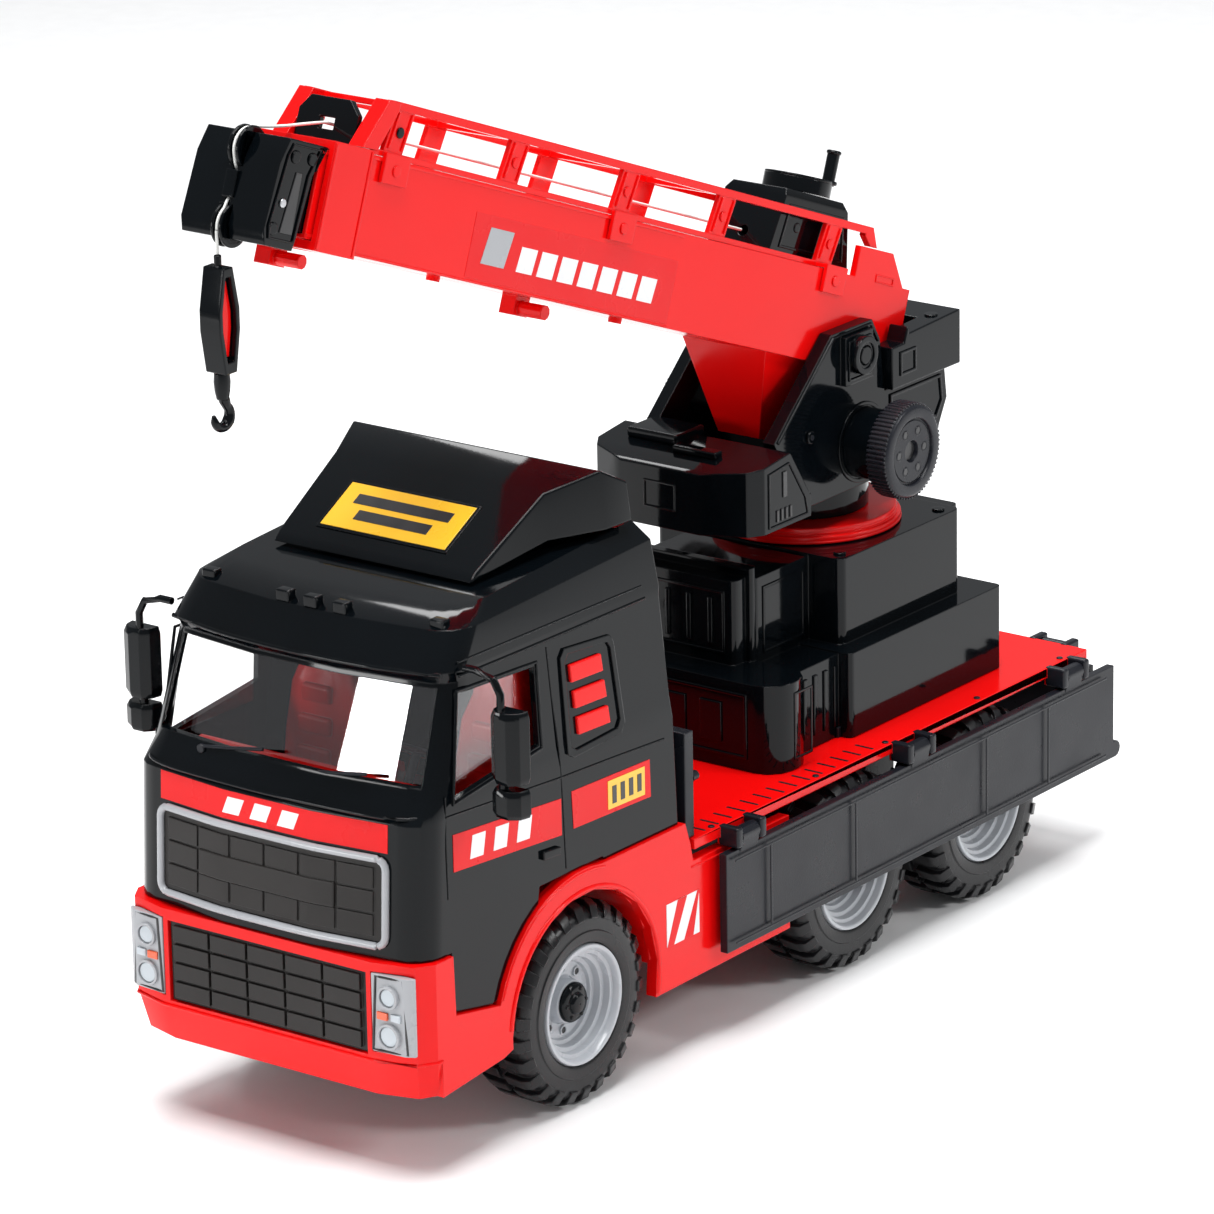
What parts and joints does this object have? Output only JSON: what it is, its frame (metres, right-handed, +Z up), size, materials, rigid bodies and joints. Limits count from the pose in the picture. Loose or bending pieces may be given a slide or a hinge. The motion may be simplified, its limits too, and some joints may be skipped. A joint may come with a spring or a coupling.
{
  "type": "toy crane truck",
  "caption": "Toy crane truck: cab with a drop-sided bed, and a slewing turret on a pedestal with a luffing telescopic boom, a winch and a hook.",
  "frame": {"origin": "centre of the footprint's box, on the ground the tyres stand on", "axes": "+Z up, the truck faces -Y with its length along Y, its left side is +X"},
  "size_m": [0.218, 0.554, 0.4503],
  "materials": {
    "red_plastic": "glossy moulded plastic, saturated red",
    "black_plastic": "glossy moulded plastic, black with a faint blue-green cast",
    "satin_black": "satin dark grey-black moulded plastic",
    "grey_plastic": "silver-grey moulded plastic",
    "tyre_black": "matt black rubbery tyre with coarse lugs",
    "clear_plastic": "clear plastic glazing",
    "silver_print": "silver-grey printed or painted plastic",
    "steel": "plain steel pin",
    "white_cord": "thin white braided cord"
  },
  "bodies": {
    "truck": {"chassis_frame": "satin_black", "lower_body": "red_plastic", "cab_shell": "black_plastic", "roof_deflector": "black_plastic", "cab_glazing": "clear_plastic", "upper_grille": "silver_print", "lower_grille": "satin_black", "headlamp_left": "silver_print", "headlamp_right": "silver_print", "seat_left": "red_plastic", "seat_right": "red_plastic", "dashboard": "red_plastic", "steering_wheel": "satin_black", "mirror_left": "black_plastic", "mirror_right": "black_plastic", "bed_platform": "red_plastic", "headboard": "satin_black", "pedestal": "black_plastic"},
    "front_wheels": {"front_axle": "steel", "rim_front_left": "grey_plastic", "rim_front_right": "grey_plastic", "tyre_front_left": "tyre_black", "tyre_front_right": "tyre_black"},
    "middle_wheels": {"middle_axle": "steel", "rim_middle_left": "grey_plastic", "rim_middle_right": "grey_plastic", "tyre_middle_left": "tyre_black", "tyre_middle_right": "tyre_black"},
    "rear_wheels": {"rear_axle": "steel", "rim_rear_left": "grey_plastic", "rim_rear_right": "grey_plastic", "tyre_rear_left": "tyre_black", "tyre_rear_right": "tyre_black"},
    "left_board": {"side_board_left": "satin_black"},
    "right_board": {"side_board_right": "satin_black"},
    "tail": {"tail_board": "satin_black"},
    "turret": {"turntable": "red_plastic", "turret_frame": "black_plastic", "turret_hood": "black_plastic", "counterweight": "black_plastic", "boom_pivot_pin": "steel"},
    "luffing_gear": {"luffing_shaft": "satin_black", "luffing_knob_left": "satin_black", "luffing_knob_right": "satin_black"},
    "boom": {"boom_outer": "red_plastic", "boom_lattice": "red_plastic", "winch_housing": "black_plastic", "cord_guide": "black_plastic", "cord_run": "white_cord"},
    "winch": {"winch_drum": "satin_black", "winch_crank": "black_plastic"},
    "boom_tip": {"boom_inner": "red_plastic", "boom_head": "black_plastic", "cord_lead": "white_cord"},
    "upper_pulley": {"upper_sheave": "satin_black"},
    "hoist_line": {"lower_sheave": "satin_black", "cord_drop": "white_cord"},
    "hook_tackle": {"hook_block": "black_plastic", "hook_block_core": "red_plastic"},
    "hook": {"hook": "black_plastic"}
  },
  "joints": [
    {"name": "front_wheels_roll", "type": "hinge", "parent": "truck", "child": "front_wheels", "pos_m": [0, -0.1378, 0.046], "axis": [1, 0, 0], "continuous": true},
    {"name": "middle_wheels_roll", "type": "hinge", "parent": "truck", "child": "middle_wheels", "pos_m": [0, 0.063, 0.046], "axis": [1, 0, 0], "continuous": true},
    {"name": "rear_wheels_roll", "type": "hinge", "parent": "truck", "child": "rear_wheels", "pos_m": [0, 0.1717, 0.046], "axis": [1, 0, 0], "continuous": true},
    {"name": "left_board_drop", "type": "hinge", "parent": "truck", "child": "left_board", "pos_m": [0.087, 0.1138, 0.0933], "axis": [0, -1, 0], "range_deg": [0, 178]},
    {"name": "right_board_drop", "type": "hinge", "parent": "truck", "child": "right_board", "pos_m": [-0.087, 0.1138, 0.0933], "axis": [0, 1, 0], "range_deg": [0, 178]},
    {"name": "tail_board_drop", "type": "hinge", "parent": "truck", "child": "tail", "pos_m": [0, 0.2644, 0.0933], "axis": [1, 0, 0], "range_deg": [0, 178]},
    {"name": "turret_slew", "type": "hinge", "parent": "truck", "child": "turret", "pos_m": [0, 0.143, 0.184], "axis": [0, 0, 1], "continuous": true},
    {"name": "boom_luff", "type": "hinge", "parent": "turret", "child": "boom", "pos_m": [0, 0.133, 0.2671], "axis": [-1, 0, 0], "range_deg": [-12, 39]},
    {"name": "luffing_knobs_turn", "type": "hinge", "parent": "turret", "child": "luffing_gear", "pos_m": [0, 0.1385, 0.2235], "axis": [-1, 0, 0], "range_deg": [-170, 60]},
    {"name": "boom_extend", "type": "slide", "parent": "boom", "child": "boom_tip", "axis": [0, -0.9342, 0.3567], "range_m": [0, 0.14]},
    {"name": "winch_turn", "type": "hinge", "parent": "boom", "child": "winch", "pos_m": [0, 0.13609, 0.33014], "axis": [0, 0.3567, 0.9342], "range_deg": [-1450, 10]},
    {"name": "upper_sheave_turn", "type": "hinge", "parent": "boom_tip", "child": "upper_pulley", "pos_m": [0, -0.24774, 0.44064], "axis": [1, 0, 0], "continuous": true},
    {"name": "line_plumb", "type": "hinge", "parent": "boom_tip", "child": "hoist_line", "pos_m": [0, -0.26027, 0.41064], "axis": [-1, 0, 0], "range_deg": [-40, 13]},
    {"name": "hook_hoist", "type": "slide", "parent": "hoist_line", "child": "hook_tackle", "axis": [0, 0, -1], "range_m": [0, 0.2], "deforming": ["cord_drop"]},
    {"name": "hook_swivel", "type": "hinge", "parent": "hook_tackle", "child": "hook", "pos_m": [0, -0.2687, 0.345], "axis": [0, 0, 1], "continuous": true}
  ],
  "couplings": [
    {"joint": "luffing_knobs_turn", "follows": "boom_luff", "ratio": -4.2},
    {"joint": "line_plumb", "follows": "boom_luff", "ratio": -1},
    {"joint": "winch_turn", "follows": "hook_hoist", "rad_per_m": -125}
  ]
}
